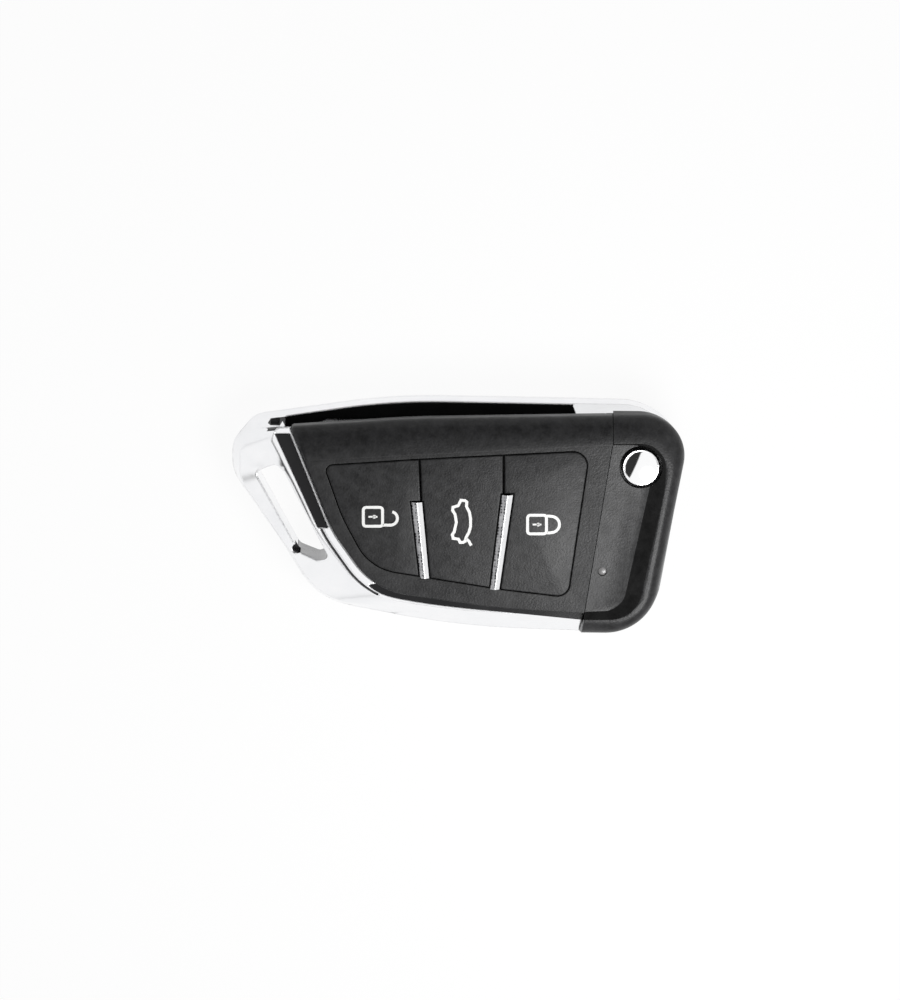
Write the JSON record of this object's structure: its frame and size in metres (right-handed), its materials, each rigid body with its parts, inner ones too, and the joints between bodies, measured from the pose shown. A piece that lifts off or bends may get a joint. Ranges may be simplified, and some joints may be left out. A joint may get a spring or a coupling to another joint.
{
  "type": "car key fob",
  "caption": "Flip key fob: black covers with three keys, a bright frame with a keyring loop, two bright bars, and a folding blade freed by a round button.",
  "frame": {"origin": "bottom centre of the closed fob's bounding box, on the plane that the back rests on", "axes": "+X along the length towards the pivot end, +Y across the width towards the edge with the blade slot, +Z out of the front face with the keys"},
  "size_m": [0.0778, 0.0416, 0.0155],
  "materials": {
    "bright_trim": "satin bright plating",
    "inlay_gloss": "gloss black",
    "cover_black": "fine textured black",
    "back_black": "fine textured black",
    "key_rubber": "soft matte black",
    "mat_rubber": "soft dark grey",
    "bar_metal": "bright plating",
    "button_metal": "bright plating",
    "head_metal": "satin bright plating",
    "blade_steel": "brushed",
    "spring_steel": "drawn",
    "window_dark": "clear dark",
    "board_green": "solder mask",
    "switch_metal": "plain",
    "chip_black": "moulded",
    "lamp_white": "clear white",
    "cell_steel": "fine brushed",
    "contact_nickel": "plain",
    "ferrite": "sintered",
    "winding_copper": "enamelled",
    "screw_steel": "dark plated"
  },
  "bodies": {
    "case": {"chrome_frame": "bright_trim", "frame_inlay_left": "inlay_gloss", "frame_inlay_bottom": "inlay_gloss", "front_cover": "cover_black", "pivot_cover": "cover_black", "rear_cover": "back_black", "pivot_rear_cover": "back_black", "blade_tray": "back_black", "key_mat": "mat_rubber", "accent_bar_left": "bar_metal", "accent_bar_right": "bar_metal", "pivot_spring": "spring_steel", "indicator_window": "window_dark", "circuit_board": "board_green", "tact_switches": "switch_metal", "control_chip": "chip_black", "radio_chip": "chip_black", "crystal": "switch_metal", "indicator_lamp": "lamp_white", "battery": "cell_steel", "battery_clip_positive": "contact_nickel", "battery_clip_negative": "contact_nickel", "antenna_core": "ferrite", "antenna_coil": "winding_copper", "transponder_chip": "chip_black", "case_screws": "screw_steel"},
    "blade_assembly": {"flip_head": "head_metal", "key_blade": "blade_steel", "blade_pin": "spring_steel"},
    "release_button": {"release_button": "button_metal"},
    "unlock_key": {"unlock_key": "key_rubber"},
    "boot_key": {"boot_key": "key_rubber"},
    "lock_key": {"lock_key": "key_rubber"}
  },
  "joints": [
    {"name": "blade_flip", "type": "hinge", "parent": "case", "child": "blade_assembly", "pos_m": [0.03141, 0.01002, 0.0085], "axis": [0, 0, -1], "range_deg": [0, 180]},
    {"name": "release_press", "type": "slide", "parent": "case", "child": "release_button", "axis": [0, 0, -1], "range_m": [0, 0.0016], "stiffness_N_per_m": 500, "springref_m": -0.002, "deforming": ["pivot_spring"]},
    {"name": "unlock_key_press", "type": "slide", "parent": "case", "child": "unlock_key", "axis": [0, 0, -1], "range_m": [0, 0.0004], "stiffness_N_per_m": 2500, "springref_m": -0.0004},
    {"name": "boot_key_press", "type": "slide", "parent": "case", "child": "boot_key", "axis": [0, 0, -1], "range_m": [0, 0.0004], "stiffness_N_per_m": 2500, "springref_m": -0.0004},
    {"name": "lock_key_press", "type": "slide", "parent": "case", "child": "lock_key", "axis": [0, 0, -1], "range_m": [0, 0.0004], "stiffness_N_per_m": 2500, "springref_m": -0.0004}
  ]
}
